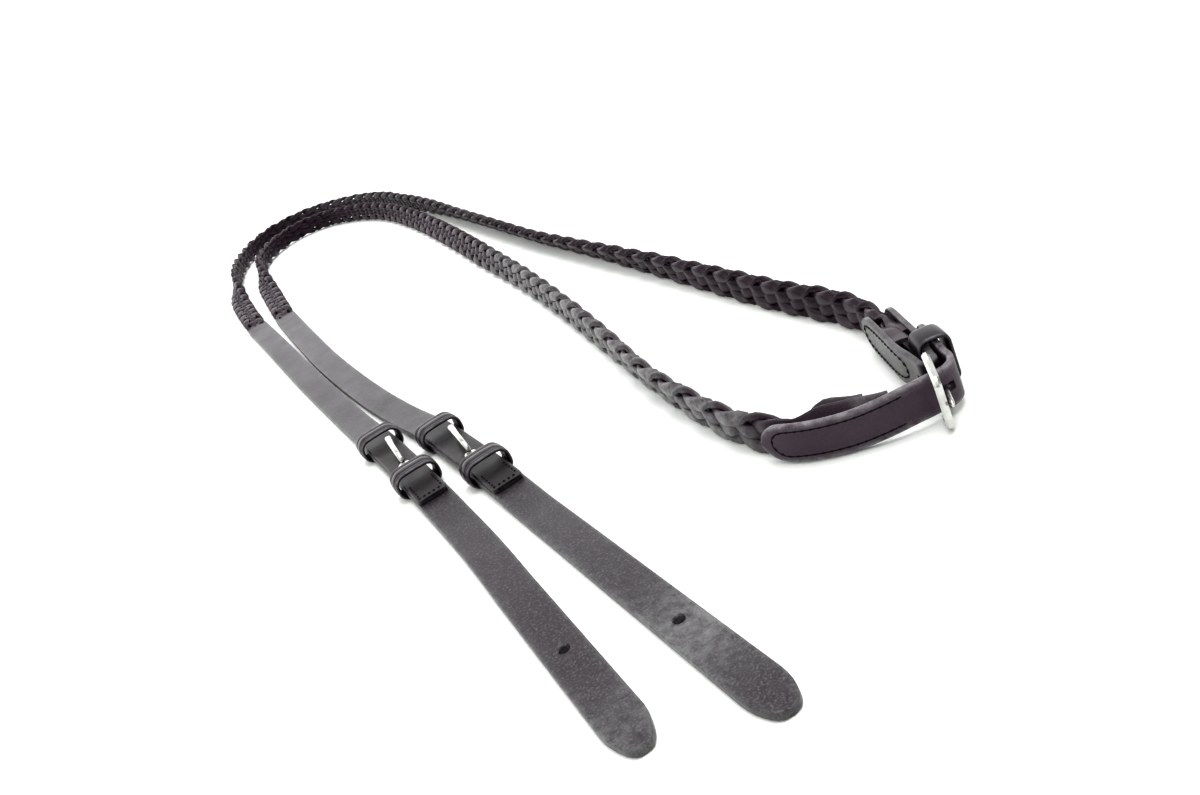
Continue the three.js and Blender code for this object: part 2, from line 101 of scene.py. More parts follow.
# hook, fold, hole and tip are places along Y, dust is a pale spot's place, its strength and the
# film all over, and point is the tip's half width. bank is the plait's lean in degrees at shares
# of its length. The plaits' routes and banks partly follow fits to the photo.
HALVES = {
    "left": dict(
        hook=-160.7, fold=-247, hole=-324.4, tip=-371.9, billet_angle=-3.2, lift=1.9,
        dust=(-362, 0.4, 0.02), point=(0.4, 1.6, 2.5, 3.3, 4.1, 4.8, 5.5, 6.1, 6.35),
        strap=[(-66.6, 148.8), (-67.1, 77.3), (-67.9, -2.7), (-67.7, -82.7), (-67.1, -160.7),
               (-68.5, -247)],
        plait=[(60.6, -311.7), (65.9, -297.8), (71.3, -283.8), (74.8, -269.7), (75.5, -254.7),
               (74.3, -232.7), (73.9, -207.7), (73.9, -172.7), (74.1, -122.7), (73.9, -62.7),
               (73.6, -2.7), (75.1, 67.3), (76.3, 127.3), (76.3, 187.3), (74, 247.3),
               (68.4, 302.3), (52.9, 346.3), (30.4, 377.8), (4.9, 387.3), (-20.1, 371.3),
               (-39.1, 337.3), (-52.1, 291.8), (-61.3, 237.3), (-65.1, 189.3), (-66.6, 149.3)],
        bank=[(0, 90), (0.1, 91), (0.17, 80), (0.24, 61), (0.31, 50), (0.38, 52), (0.45, 56),
              (0.52, 76), (0.6, 90), (0.845, 90), (0.868, 76), (0.89, 45), (0.912, 14),
              (0.935, 0)]),
    "right": dict(
        hook=-184.7, fold=-268, hole=-342.3, tip=-389.9, billet_angle=0, lift=0,
        dust=(-348, 0.8, 0.1), point=(0.3, 1.4, 2.6, 3.6, 4.4, 5.1, 5.8, 6.2, 6.35),
        strap=[(-49.9, 136.8), (-52.7, 67.3), (-54.5, -2.7), (-53.3, -82.7), (-48.7, -152.7),
               (-47.5, -192.7), (-47.1, -268)],
        plait=[(41.2, -328.7), (33.5, -324.5), (25.7, -318.5), (19.1, -310.3), (14.1, -300.1),
               (11.7, -285.7), (12.1, -264.7), (15.5, -227.7), (21.9, -187.7), (29, -142.7),
               (35.3, -97.7), (41.3, -47.7), (47, 12.3), (53.1, 72.3), (58.1, 132.3),
               (60.2, 192.3), (57.9, 252.3), (46.4, 303.3), (29.4, 335.3), (8.9, 344.3),
               (-12.6, 331.8), (-30.1, 299.3), (-39.6, 247.3), (-45.1, 192.3), (-49.7, 137.3)],
        bank=[(0, 90), (0.05, 88), (0.12, 76), (0.19, 93), (0.26, 97), (0.33, 108), (0.4, 125),
              (0.47, 138), (0.54, 133), (0.62, 110), (0.7, 90), (0.83, 90), (0.855, 76),
              (0.88, 45), (0.905, 14), (0.93, 0)]),
}
HAND_ROUTE = [(9.4, -300.9), (14.3, -311.7), (20.5, -319.3), (28.5, -325.5), (36.6, -330.5),
              (44, -333.6), (49, -334.9), (53.2, -335.8), (56.7, -334.7), (58.9, -332),
              (60.1, -328.6), (62, -324.2), (65.3, -316.9), (69.5, -307.2)]
HAND_RISE_HEIGHT, HAND_RISE_FROM, HAND_RISE_TO = 6.7, 0.3, 0.54


def smooth(a, b, x):
    """0 before a, 1 after b, and an even rise between them."""
    t = np.clip((np.asarray(x, float) - a) / (b - a), 0, 1)
    return t * t * (3 - 2 * t)


class Route:
    """A centripetal Catmull-Rom curve through the points, read by length along it."""

    def __init__(self, points, per=30):
        p = np.array(points, float)
        if p.shape[1] == 2:
            p = np.column_stack([p, np.zeros(len(p))])
        q = np.vstack([2 * p[0] - p[1], p, 2 * p[-1] - p[-2]])
        u = (np.arange(per) / per)[:, None]
        out = []
        for i in range(len(p) - 1):
            a, b, c, d = q[i:i + 4]
            da, db, dc = (max(np.linalg.norm(end - begin) ** 0.5, 1e-6)
                          for begin, end in ((a, b), (b, c), (c, d)))
            m = ((b - a) / da - (c - a) / (da + db) + (c - b) / db) * db
            n = ((c - b) / db - (d - b) / (db + dc) + (d - c) / dc) * db
            out.append(b + m * u + (-3 * b + 3 * c - 2 * m - n) * u ** 2
                       + (2 * b - 2 * c + m + n) * u ** 3)
        self.p = np.vstack([*out, p[-1:]])
        self.s = np.concatenate([[0], np.cumsum(np.linalg.norm(np.diff(self.p, axis=0), axis=1))])
        self.length = float(self.s[-1])

    def at(self, s):
        """Points at lengths s, on a straight line past either end."""
        s = np.asarray(s, float)
        inside = np.clip(s, 0, self.length)
        found = np.stack([np.interp(inside, self.s, self.p[:, k]) for k in range(3)], -1)
        first = (self.p[1] - self.p[0]) / self.s[1]
        last = (self.p[-1] - self.p[-2]) / (self.s[-1] - self.s[-2])
        return (found + np.minimum(s, 0)[..., None] * first
                + np.maximum(s - self.length, 0)[..., None] * last)

    def ahead(self, s, step=0.6):
        """Unit directions of travel at lengths s."""
        s = np.asarray(s, float)
        d = self.at(s + step) - self.at(s - step)
        return d / np.linalg.norm(d, axis=-1, keepdims=True)


def plan_frame(route, s, bank):
    """Across and out directions of a band on a plan route, at a bank angle in radians."""
    ahead = route.ahead(s)
    side = np.stack([-ahead[:, 1], ahead[:, 0], np.zeros(len(ahead))], -1)
    c, k = np.cos(bank)[:, None], np.sin(bank)[:, None]
    return side * c + UP * k, -side * k + UP * c


# ------------------------------------------------------------------ mesh making

def make_object(name, verts, faces, material, wear=None, sharp=38):
    """A smooth-shaded piece from points in millimetres."""
    mesh = bpy.data.meshes.new(name)
    mesh.from_pydata((np.asarray(verts, float) * MM).tolist(), [], faces)
    mesh.validate()
    work = bmesh.new()
    work.from_mesh(mesh)
    bmesh.ops.recalc_face_normals(work, faces=work.faces)
    work.to_mesh(mesh)
    work.free()
    mesh.polygons.foreach_set("use_smooth", [True] * len(mesh.polygons))
    mesh.set_sharp_from_angle(angle=math.radians(sharp))
    if wear is not None:
        mesh.attributes.new("wear", "FLOAT", "POINT").data.foreach_set(
            "value", np.asarray(wear, np.float32))
    mesh.materials.append(material)
    piece = bpy.data.objects.new(name, mesh)
    bpy.context.scene.collection.objects.link(piece)
    return piece


class Build:
    """Gathers points and faces of several shells into one piece."""

    def __init__(self):
        self.verts, self.faces, self.wear, self.count = [], [], [], 0

    def add(self, verts, faces, wear=None):
        """Takes in a shell's points and faces, and how worn each point is."""
        verts = np.asarray(verts, float).reshape(-1, 3)
        self.faces += [tuple(i + self.count for i in f) for f in faces]
        self.verts.append(verts)
        self.wear.append(np.zeros(len(verts)) if wear is None else np.asarray(wear, float).ravel())
        self.count += len(verts)

    def loft(self, rings, wear=None, closed=False):
        """Rings of equal size, joined in order, with both ends capped unless it closes."""
        rings = np.asarray(rings, float)
        n, m = rings.shape[:2]
        faces = []
        for i in range(n if closed else n - 1):
            a, b = i * m, ((i + 1) % n) * m
            faces += [(a + j, a + (j + 1) % m, b + (j + 1) % m, b + j) for j in range(m)]
        if not closed:
            faces += [tuple(range(m))[::-1], tuple(range((n - 1) * m, n * m))]
        if wear is not None:
            wear = np.broadcast_to(wear, (n, m))
        self.add(rings.reshape(-1, 3), faces, wear)

    def done(self, name, material, sharp=38):
        """The one piece that all the shells make."""
        return make_object(name, np.vstack(self.verts), self.faces, material,
                           np.concatenate(self.wear), sharp)


def strap_section(width, thick, bevel=0.45, cells=6):
    """A flat strap's section, round at its four edges. Returns points and how worn each is."""
    w, t = width / 2, thick / 2
    inset = 0.55                 # how far the flat faces' own points stay from the round edges
    points, worn = [], []
    corners = ((1, -1, -90), (1, 1, 0), (-1, 1, 90), (-1, -1, 180))
    for sx, sy, start in corners:
        for angle in (math.radians(start + 30 * k) for k in range(4)):
            points.append((sx * (w - bevel) + bevel * math.cos(angle),
                           sy * (t - bevel) + bevel * math.sin(angle)))
        worn += [0.75, 1, 1, 0.75]
        if sx == sy:             # a flat face starts here: the top one, then the bottom one
            for k, share in enumerate(np.linspace(1, -1, cells + 1) * sy):
                points.append((share * (w - bevel - inset), sy * t))
                worn.append(0.25 if k in (0, cells) else 0)
    return np.array(points), np.array(worn)


def narrowed(section, width, factor):
    """The section's points across, with the half width cut to factor and the edges kept round."""
    cut = width / 2 * (1 - factor)
    x = section[:, 0]
    return np.sign(x) * np.maximum(np.abs(x) - cut, np.abs(x) * 0.02)


def cut_with(piece, cutter):
    """Cuts the cutter's shape out of the piece."""
    change = piece.modifiers.new("cut", "BOOLEAN")
    change.object, change.operation, change.solver = cutter, "DIFFERENCE", "EXACT"
    graph = bpy.context.evaluated_depsgraph_get()
    made = bpy.data.meshes.new_from_object(piece.evaluated_get(graph))
    piece.modifiers.clear()
    old, piece.data = piece.data, made
    bpy.data.meshes.remove(old)
    piece.data.set_sharp_from_angle(angle=math.radians(38))
    bpy.data.objects.remove(cutter)


def settle(piece, body, slot, *nodes):
    """The piece rides on a body and stands for CAD nodes, which it hides. slot is not used."""
    if body:
        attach(piece, body)
    if nodes:
        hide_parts(*nodes)
    return piece


# ------------------------------------------------------------------ materials

def node(tree, kind, **values):
    """A new shader node with some of its settings."""
    made = tree.nodes.new(kind)
    for key, value in values.items():
        setattr(made, key, value)
    return made


def ramp(tree, source, stops):
    """A colour ramp over the source, from places and their greys or colours."""
    made = node(tree, "ShaderNodeValToRGB")
    tree.links.new(source, made.inputs[0])
    while len(made.color_ramp.elements) < len(stops):
        made.color_ramp.elements.new(0.5)
    for element, (place, colour) in zip(made.color_ramp.elements, stops):
        element.position = place
        element.color = (*colour, 1) if hasattr(colour, "__len__") else (colour,) * 3 + (1,)
    return made.outputs[0]


def noise(tree, place, scale, detail=4, rough=0.55, squash=(1, 1, 1)):
    """Fractal noise at a scale per metre, stretched where squash is small."""
    mapped = node(tree, "ShaderNodeMapping")
    mapped.inputs["Scale"].default_value = squash
    tree.links.new(place, mapped.inputs[0])
    made = node(tree, "ShaderNodeTexNoise")
    made.inputs["Scale"].default_value = scale
    made.inputs["Detail"].default_value = detail
    made.inputs["Roughness"].default_value = rough
    tree.links.new(mapped.outputs[0], made.inputs["Vector"])
    return made.outputs[0]


def mix(tree, kind, factor, a, b):
    """Blends colours a and b, each of them a socket or a value."""
    made = node(tree, "ShaderNodeMix", data_type="RGBA", blend_type=kind)
    for value, socket in ((factor, made.inputs[0]), (a, made.inputs[6]), (b, made.inputs[7])):
        if hasattr(value, "is_linked"):
            tree.links.new(value, socket)
        else:
            socket.default_value = value if isinstance(value, float) else (*value, 1)
    return made.outputs[2]


def math_node(tree, operation, a, b):
    """Arithmetic on a and b, each of them a socket or a value."""
    made = node(tree, "ShaderNodeMath", operation=operation)
    for value, socket in ((a, made.inputs[0]), (b, made.inputs[1])):
        if hasattr(value, "is_linked"):
            tree.links.new(value, socket)
        else:
            socket.default_value = value
    return made.outputs[0]


def leather(name, dark, light, worn, rough=(0.36, 0.56), grain=1700, bump_depth=0.05,
            shine=0.25, speckle=0.35):
    """Dyed leather: fine pores, blotches of old finish, and paler places where the wear attribute
    rises: worn or dusty places, and on the plaits partly a painted sheen.
    """
    material = bpy.data.materials.new(name)
    material.use_nodes = True
    tree = material.node_tree
    shader = tree.nodes["Principled BSDF"]
    place = node(tree, "ShaderNodeTexCoord").outputs["Object"]
    wear = node(tree, "ShaderNodeAttribute", attribute_name="wear").outputs["Fac"]
    blotch = noise(tree, place, 38, 5, 0.6)
    pores = noise(tree, place, grain, 3, 0.6)
    tone = mix(tree, "MIX", ramp(tree, blotch, [(0.35, 0.0), (0.68, 1.0)]), dark, light)
    speck = ramp(tree, pores, [(0.5, 0.0), (0.78, 1.0)])
    tone = mix(tree, "MIX", math_node(tree, "MULTIPLY", speck, speckle), tone, worn)
    rub = noise(tree, place, 300, 6, 0.75)
    rub = math_node(tree, "MULTIPLY", wear, ramp(tree, rub, [(0.32, 0.05), (0.68, 0.95)]))
    tone = mix(tree, "MIX", rub, tone, worn)
    tree.links.new(tone, shader.inputs["Base Color"])
    smudge = noise(tree, place, 60, 4, 0.65)
    gloss = ramp(tree, smudge, [(0.3, rough[0]), (0.7, rough[1])])
    gloss = math_node(tree, "ADD", gloss, math_node(tree, "MULTIPLY", speck, 0.12))
    tree.links.new(gloss, shader.inputs["Roughness"])
    bump = node(tree, "ShaderNodeBump")
    bump.inputs["Strength"].default_value = 0.4
    bump.inputs["Distance"].default_value = bump_depth * MM
    tree.links.new(pores, bump.inputs["Height"])
    tree.links.new(bump.outputs[0], shader.inputs["Normal"])
    shader.inputs["Specular IOR Level"].default_value = shine
    return material


def steel(name):
    """Bright plated steel with fine scratches and a few dull smudges."""
    material = bpy.data.materials.new(name)
    material.use_nodes = True
    tree = material.node_tree
    shader = tree.nodes["Principled BSDF"]
    place = node(tree, "ShaderNodeTexCoord").outputs["Object"]
    smudge = noise(tree, place, 220, 4, 0.6)
    tree.links.new(ramp(tree, smudge, [(0.3, (0.40, 0.40, 0.385)), (0.7, (0.62, 0.62, 0.59))]),
                   shader.inputs["Base Color"])
    tree.links.new(ramp(tree, smudge, [(0.3, 0.16), (0.75, 0.34)]), shader.inputs["Roughness"])
    scratch = noise(tree, place, 3000, 2, 0.6, (1, 1, 0.12))
    bump = node(tree, "ShaderNodeBump")
    bump.inputs["Strength"].default_value = 0.15
    bump.inputs["Distance"].default_value = 0.00003
    tree.links.new(scratch, bump.inputs["Height"])
    tree.links.new(bump.outputs[0], shader.inputs["Normal"])
    shader.inputs["Metallic"].default_value = 1.0
    return material


STRAP = leather("strap_leather", (0.010, 0.005, 0.009), (0.017, 0.011, 0.017), (0.18, 0.18, 0.18),
                rough=(0.36, 0.46), grain=1500, shine=0.28, speckle=0.5)
HAND = leather("hand_leather", (0.036, 0.021, 0.033), (0.048, 0.030, 0.045), (0.26, 0.25, 0.26),
               rough=(0.38, 0.46), bump_depth=0.02, shine=0.2, speckle=0.06)
# its pale third tone serves for both dust and a painted sheen on the plaits' exposed faces
PLAITED = leather("plaited_leather", (0.012, 0.003, 0.009), (0.020, 0.008, 0.017),
                  (0.27, 0.275, 0.27), rough=(0.32, 0.42), grain=2100, bump_depth=0.03, shine=0.18,
                  speckle=0.06)
KEEPER = leather("keeper_leather", (0.006, 0.003, 0.006), (0.012, 0.007, 0.011),
                 (0.13, 0.12, 0.13), rough=(0.26, 0.38), bump_depth=0.025, shine=0.26, speckle=0.08)
# the stay's leather is darker than the strap's as painted shade, for the shadow the keepers cast on
# it
PAINTED_SHADE_STAY = leather("stay_leather_painted_shade", (0.004, 0.002, 0.003), (0.008, 0.005, 0.007), (0.06, 0.055, 0.06),
               rough=(0.26, 0.42), bump_depth=0.05, shine=0.16, speckle=0.15)
THREAD = leather("thread", (0.002, 0.001, 0.002), (0.004, 0.002, 0.004), (0.01, 0.008, 0.01),
                 rough=(0.6, 0.8), grain=4200, shine=0.1, speckle=0.1)
STEEL = steel("steel")

# ------------------------------------------------------------------ plaits (cords)

# the length in which a strand crosses the plait and comes back, at lengths along the plait
PERIODS = {"left": [(0, 76), (100, 80), (180, 88), (270, 84), (330, 79), (520, 80), (600, 75),
                    (1000, 73)],
           "right": [(0, 94), (80, 100), (140, 88), (200, 81), (470, 81), (530, 71), (1000, 71)]}
STRANDS = 5
SWING = 4.65                 # how far a strand's middle goes either side of the plait's middle
LAYER = 1.4                  # how far it goes above and below
STRAND_WIDTH, STRAND_THICK = 4.1, 2.5
STEP = 7.5                   # degrees of the period between a strand's rings
SLIP, UNEVEN = 0.14, 0.025   # how far a strand strays from its place, and varies in width
FULLER, FULLER_FROM, FULLER_TO = 0.24, 110, 280   # wider strands near the hand, fading out
# over one strand and under the next, at the four crossings between the plait's edges
# on the way up the plait and on the way down, at phases in degrees
CROSSINGS = (0, 15, 36, 54, 72, 90, 108, 126, 144, 165, 180)
HEIGHTS_UP = (0, 0.8, 1, 0, -1, 0, 1, 0, -1, -0.8, 0)
HEIGHTS_DOWN = (0, 0.8, 1, 0, -1, 0, 0.9, 0, -1, -0.8, 0)
DUST_AND_SHEEN = {"left": (400, 700, 0.25), "right": (62, 330, 0.85)}  # where dust and a painted sheen lie, and how much
# by the buckle the strands leave the weave between these lengths, and end at this share of width
OPENED = {"left": (9, 24), "right": (20, 36)}
END_WIDTH = {"left": 1.15, "right": 0.45}
# where each of them lies across and out, its roll in degrees, and the length at which it is cut
FANS = {
    "left": ((5.3, 1.1, 86, 0), (4.9, -1.4, 94, 4), (1.6, 0.9, 20, 1), (-1.8, -0.6, 8, 2),
             (-4.2, 0.3, 0, 1)),
    "right": ((4.3, -2.3, -48, 1), (-3.9, -1.2, 4, 3), (0.4, -1.2, -10, 6), (-2.2, -2.4, 6, 0),
              (4.5, -5.1, -40, 9)),
}


def plait_bank(half, t):
    """The plait's lean in radians at shares t of its length: 0 lies flat, 90 degrees stands."""
    at, angle = zip(*half["bank"])
    return np.radians(np.interp(t, at, angle))


def plait_middle(half, t):
    """Height of the plait's middle when its lower edge rests on the table."""
    w, h, c = PLAIT_WIDTH / 2, PLAIT_THICK / 2, PLAIT_CHAMFER
    bank = plait_bank(half, t)
    sin, cos = np.abs(np.sin(bank)), np.abs(np.cos(bank))
    rest = np.maximum((w - c) * sin + h * cos, w * sin + (h - c) * cos)
    return rest + half["lift"] * (1 - smooth(0, LIFTED, t))


def strand_section():
    """A strand's section: a flat lace with rounded edges."""
    a = np.linspace(0, 2 * math.pi, 14, endpoint=False) + math.pi / 14
    c, s = np.cos(a), np.sin(a)
    return np.column_stack([STRAND_WIDTH / 2 * np.sign(c) * np.abs(c) ** 0.72,
                            STRAND_THICK / 2 * np.sign(s) * np.abs(s) ** 0.85])


def strand_at(phase):
    """Across, out and the turn of a strand's width, at a phase in degrees."""
    turn = np.radians(phase)
    across = -SWING * np.arcsin(0.95 * np.cos(turn)) / math.asin(0.95)
    fine = np.arange(0, 360, 1.5)
    coarse = np.concatenate([np.interp(fine[:120], CROSSINGS, HEIGHTS_UP),
                             np.interp(fine[:120], CROSSINGS, HEIGHTS_DOWN)])
    window = np.hanning(15)[1:-1] / np.hanning(15).sum()
    soft = np.convolve(np.concatenate([coarse[-6:], coarse, coarse[:6]]), window, "valid")
    out = LAYER * np.clip(1.12 * np.interp(phase, fine, soft, period=360), -1, 1)
    roll = math.pi / 2 * (1 - np.tanh(5.0 * np.sin(turn)) / math.tanh(5.0))
    return across, out, roll


def strand_rings(side, half, route, s, phase, rng, section, fan):
    """Rings of one strand at lengths s, with small slips of place and width."""
    length = route.length
    last_across, last_out, last_roll, cut = fan
    slip = np.interp(s, np.linspace(0, length, 90), rng.normal(0, SLIP, 90))
    width = np.interp(s, np.linspace(0, length, 130), rng.normal(1, UNEVEN, 130))
    width *= END_WIDTH[side] + (1 - END_WIDTH[side]) * smooth(cut, cut + 12, s)
    width *= 1 + FULLER * (1 - smooth(FULLER_FROM, FULLER_TO, s))
    across, out, roll = strand_at(phase)
    ease = smooth(length - 16, length - 1, s)       # the strands end side by side in one layer
    across = across * (1 - 0.12 * ease) + slip
    out = out * (1 - 0.75 * ease)
    loose = 1 - smooth(*OPENED[side], s)
    across = across + (last_across - across) * loose
    out = out + (last_out - out) * loose
    target = math.radians(last_roll)
    woven_roll = roll[np.argmin(np.abs(s - OPENED[side][1]))]
    target += math.pi * np.round((woven_roll - target) / math.pi)  # a half turn looks the same
    roll = roll + (target - roll) * loose
    thin = 1 - 0.4 * loose - 0.3 * ease
    t = np.clip(s / length, 0, 1)
    middle = plait_middle(half, t) - 1.3 * ease
    w, n = plan_frame(route, s, plait_bank(half, t))
    n = -n                                          # out is towards the inside of the loop
    centre = route.at(s) + UP * middle[:, None] + w * across[:, None] + n * out[:, None]
    along = np.gradient(centre, axis=0)
    along /= np.linalg.norm(along, axis=1, keepdims=True)
    flat = w - (w * along).sum(1)[:, None] * along
    flat /= np.linalg.norm(flat, axis=1, keepdims=True)
    normal = np.cross(along, flat)
    normal *= np.sign((normal * n).sum(1))[:, None]
    x = flat * np.cos(roll)[:, None] + normal * np.sin(roll)[:, None]
    y = -flat * np.sin(roll)[:, None] + normal * np.cos(roll)[:, None]
    rings = (centre[:, None] + x[:, None] * (section[:, 0][None] * width[:, None])[..., None]
             + y[:, None] * (section[:, 1][None] * thin[:, None])[..., None])
    rings[..., 2] = np.maximum(rings[..., 2], 0.02)
    return rings


def plait_wear_and_sheen(side, section, s, phase):
    """How worn or dusty a strand is, and where it takes a pale painted sheen, at lengths s and
    round its section.
    """
    edge = np.clip((np.abs(section[:, 0]) - 1.9) / 0.5, 0, 1) * 0.2
    # this pale tone is partly dust and partly painted sheen, a grazing reflection painted into the
    # colour
    near, far, dust = DUST_AND_SHEEN[side]
    dusty = dust * smooth(near - 30, near, s) * (1 - smooth(far - 60, far + 60, s))
    dusty += 0.3 * (1 - smooth(12, 30, s))
    across, out, roll = strand_at(phase)
    # dust and a painted sheen lie where a strand is on top and on the face it shows, and on the
    # plait's edges
    shown = (section[:, 1] / STRAND_THICK * 2)[None] * (np.cos(roll) * out / LAYER)[:, None]
    shown = smooth(-0.1, 0.75, shown) + 0.7 * smooth(0.8, 1, np.abs(across) / SWING)[:, None]
    return np.clip(edge[None] + dusty[:, None] * np.clip(shown, 0, 1), 0, 1)


def make_plait(side, half):
    """Five strands in a flat plait along the half's route."""
    route = Route(half["plait"])
    build = Build()
    section = strand_section()
    rng = np.random.default_rng(7 if side == "left" else 11)
    length = route.length
    fine = np.arange(0, length + 1, 0.5)
    period = np.interp(fine, *zip(*PERIODS[side]))
    turned = np.concatenate([[0], np.cumsum(180 / period[1:] * 0.5 + 180 / period[:-1] * 0.5)])
    for k in range(STRANDS):
        start = k / STRANDS * 360
        first = math.ceil((start + 0.1 * STEP) / STEP) * STEP
        last = start + float(np.interp(length, fine, turned))
        phase = np.concatenate([[start], np.arange(first, last - 0.1 * STEP, STEP), [last]])
        s = np.interp(phase - start, turned, fine)
        fan = FANS[side][k]
        keep = s >= fan[3]
        build.loft(strand_rings(side, half, route, s[keep], phase[keep], rng, section, fan),
                   plait_wear_and_sheen(side, section, s, phase)[keep])
    piece = build.done(f"{side}_plait_strands", PLAITED, 60)
    settle(piece, "reins", "plaited_leather", f"{side}_plait")
    line = np.linspace(0, length, 200)
    path = (route.at(line) + UP * plait_middle(half, line / length)[:, None]) * MM


for side, half in HALVES.items():
    make_plait(side, half)

# ------------------------------------------------------------------ bit ends

def strap_height(half, y):
    """Height of the strap's lower face, which rises to pass through the keepers."""
    return STRAP_AT_KEEPERS * (1 - smooth(34, 70, np.abs(np.asarray(y) - half["hook"])))


def along_strap(half):
    """The strap's route, carried on along the billet to its tip."""
    x, y = half["strap"][-1]
    angle = math.radians(half["billet_angle"])
    reach = half["fold"] - half["tip"]
    extra = [(x + math.sin(angle) * d, y - math.cos(angle) * d) for d in (40, 80, reach)]
    return Route([*half["strap"], *extra])


def billet_taper(half, left):
    """Share of the half width, at a distance from the tip."""
    reach = (0, 0.12, 0.5, 1.5, 2.8, 4.6, 7, 9.5, 12)
    return np.interp(left, reach, np.array(half["point"]) / (STRAP_WIDTH / 2))


def tip_stations(length, step):
    """Even stations, with closer ones towards the tip."""
    close = length - np.array([12, 11, 10, 9.5, 9, 8, 7, 6, 5.2, 4.6, 3.6, 2.8, 2.2, 1.5, 1.1, 0.8,
                               0.5, 0.25, 0.12, 0])
    return np.concatenate([np.arange(0, length - 12.5, step), close])


def make_strap(side, half):
    """The bit strap and its billet as one sheet of leather, which bends at the fold."""
    route = along_strap(half)
    s = tip_stations(route.length, 1.6)
    section, wear = strap_section(STRAP_WIDTH, STRAP_THICK)
    y = route.at(s)[:, 1]
    middle = STRAP_THICK / 2 + strap_height(half, y)
    share = billet_taper(half, route.length - s)
    rings = []
    w, n = plan_frame(route, s, np.zeros(len(s)))
    centre = route.at(s) + UP * middle[:, None]
    for i in range(len(s)):
        x = narrowed(section, STRAP_WIDTH, share[i])
        rings.append(centre[i] + w[i] * x[:, None] + n[i] * section[:, 1][:, None])
    spot, dust, film = half["dust"]
    dusty = film + dust * np.exp(-((y - spot) / 17) ** 2)
    build = Build()
    build.loft(rings, np.clip(0.5 * wear[None] + dusty[:, None], 0, 1))
    piece = build.done(f"{side}_strap", STRAP)
    cutter = Build()
    angle = np.linspace(0, 2 * math.pi, 28, endpoint=False)
    bx, by = half["strap"][-1]
    lean = math.radians(half["billet_angle"])
    reach = half["fold"] - half["hole"]
    hx, hy = bx + math.sin(lean) * reach, by - math.cos(lean) * reach
    hole = ((-1, 1.65), (1.6, 1.6), (2.2, 1.65), (2.5, 1.95), (3.2, 2.3))  # heights and radii
    cutter.loft([np.column_stack([hx + r * np.cos(angle), hy + r * np.sin(angle),
                                  np.full(28, z)]) for z, r in hole])
    cut_with(piece, cutter.done("cutter", STRAP))
    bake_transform(piece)
    settle(piece, None, "strap_leather", f"{side}_bit_strap", f"{side}_billet")


def strap_x(route, y):
    """Plan position across, at a place along a route that runs towards -Y."""
    order = route.p[::-1]
    return float(np.interp(y, order[:, 1], order[:, 0]))


def stay_route(half):
    """The stay's route, which keeps to the strap below it."""
    strap = Route(half["strap"])
    ys = np.linspace(half["hook"] - STAY_TO_BIT, half["hook"] + STAY_TO_PLAIT, 12)
    return Route([(strap_x(strap, y), y) for y in ys])


def make_stay(side, half):
    """A second leather layer on the strap, which carries the hook stud, and its stitches."""
    route = stay_route(half)
    s = np.unique(np.concatenate([np.linspace(0, route.length, 48), [0.2, 0.6, 1.1, 1.8]]))
    section, wear = strap_section(STAY_WIDTH, STAY_THICK, bevel=0.4)
    top = strap_height(half, route.at(s)[:, 1]) + STRAP_THICK
    share = np.interp(s, [0, 0.2, 0.6, 1.1, 1.8, 2.6], [0.84, 0.89, 0.94, 0.97, 0.99, 1])
    w, n = plan_frame(route, s, np.zeros(len(s)))
    centre = route.at(s) + UP * (top + GAP + STAY_THICK / 2)[:, None]
    rings = [centre[i] + w[i] * narrowed(section, STAY_WIDTH, share[i])[:, None]
             + n[i] * section[:, 1][:, None] for i in range(len(s))]
    build = Build()
    build.loft(rings, wear)
    # the stay's darker leather is painted shade from the keepers
    settle(build.done(f"{side}_stay_leather_painted_shade", PAINTED_SHADE_STAY), "reins", "strap_leather", f"{side}_stay")
    stitches = Build()
    reach = STAY_WIDTH / 2 - 1.4
    last = STAY_TO_BIT - KEEPER_LOWER - KEEPER_WIDTH / 2 - 1.5
    line = []
    for a in np.arange(-reach + 0.8, reach, 1.9):
        line.append(((2.0, a), (2.0, a + 1.25)))
    for d in np.arange(3.2, last, 2.4):
        for a in (-reach, reach):
            line.append(((d, a), (d + 1.7, a)))
    for (d0, a0), (d1, a1) in line:
        ends = []
        for d, a in ((d0, a0), (d1, a1)):
            p = route.at(d)
            across = plan_frame(route, np.array([d]), np.zeros(1))[0][0]
            q = p + across * a
            top = strap_height(half, q[1]) + STRAP_THICK + GAP + STAY_THICK
            ends.append([q[0], q[1], float(top)])
        add_stitch(stitches, ends[0], ends[1], UP, 0.34)
    settle(stitches.done(f"{side}_stay_stitches", THREAD), "reins", "thread",
           f"{side}_stay_thread")


def add_stitch(build, a, b, out, size=0.3, sink=0.12):
    """One stitch from a to b: a plump bead of thread that dips into the leather at its ends."""
    a, b, out = (np.asarray(v, float) for v in (a, b, out))
    along = b - a
    length = np.linalg.norm(along)
    along = along / length
    side = np.cross(along, out)
    side /= np.linalg.norm(side)
    ring = np.linspace(0, 2 * math.pi, 8, endpoint=False)
    rings = []
    for u in (0, 0.06, 0.2, 0.5, 0.8, 0.94, 1):
        swell = size * (0.35 + 0.65 * math.sin(math.pi * min(max(u, 0.08), 0.92)))
        lift = size * 0.55 * math.sin(math.pi * u) - sink * (1 - math.sin(math.pi * u)) - 0.05
        centre = a + along * length * u + out * lift
        rings.append(centre + side * (swell * np.cos(ring))[:, None]
                     + out * (swell * 0.8 * np.sin(ring))[:, None])
    build.loft(rings)


# ------------------------------------------------------------------ keepers

